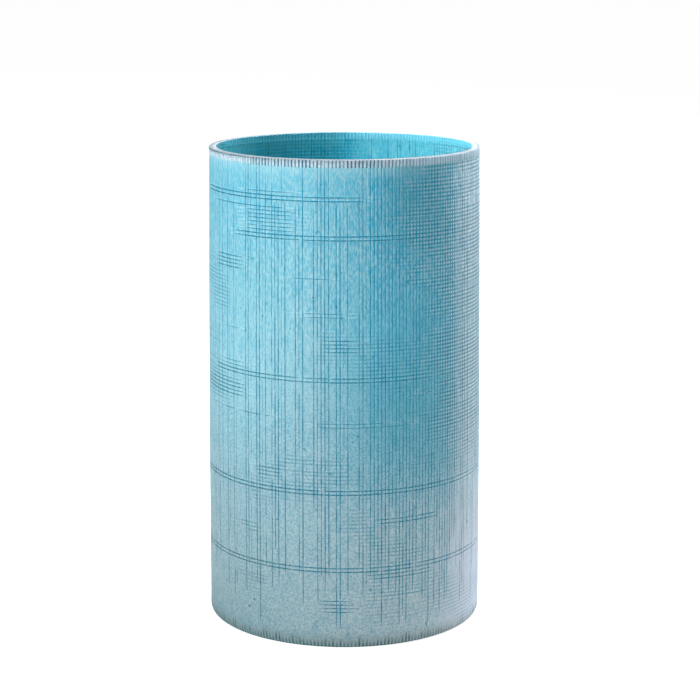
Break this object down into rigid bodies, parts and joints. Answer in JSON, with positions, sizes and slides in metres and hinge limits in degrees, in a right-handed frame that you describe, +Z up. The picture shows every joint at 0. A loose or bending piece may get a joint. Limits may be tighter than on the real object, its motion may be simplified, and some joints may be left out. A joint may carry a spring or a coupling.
{
  "type": "cylinder vase",
  "caption": "Tall straight cylinder vase of cased turquoise glass with a frosted skin engraved in a linen-like grid.",
  "frame": {"origin": "centre of the base, on the plane that the vase stands on", "axes": "+Z up along the axis of the body; the vase is round, so +X and +Y are free"},
  "size_m": [0.168, 0.168, 0.29],
  "materials": {
    "turquoise_glass": "fire polished, transparent turquoise",
    "clear_glass": "clear crystal, ground at the lip and under the base",
    "frosted_glass": "satin matt pale blue, speckled, with wheel-cut grid lines",
    "lip_glass": "satin matt pale grey, with short upright cuts"
  },
  "bodies": {
    "root": {"turquoise_lining": "turquoise_glass", "clear_casing": "clear_glass", "frosted_skin": "frosted_glass", "lip_band": "lip_glass"}
  },
  "joints": []
}
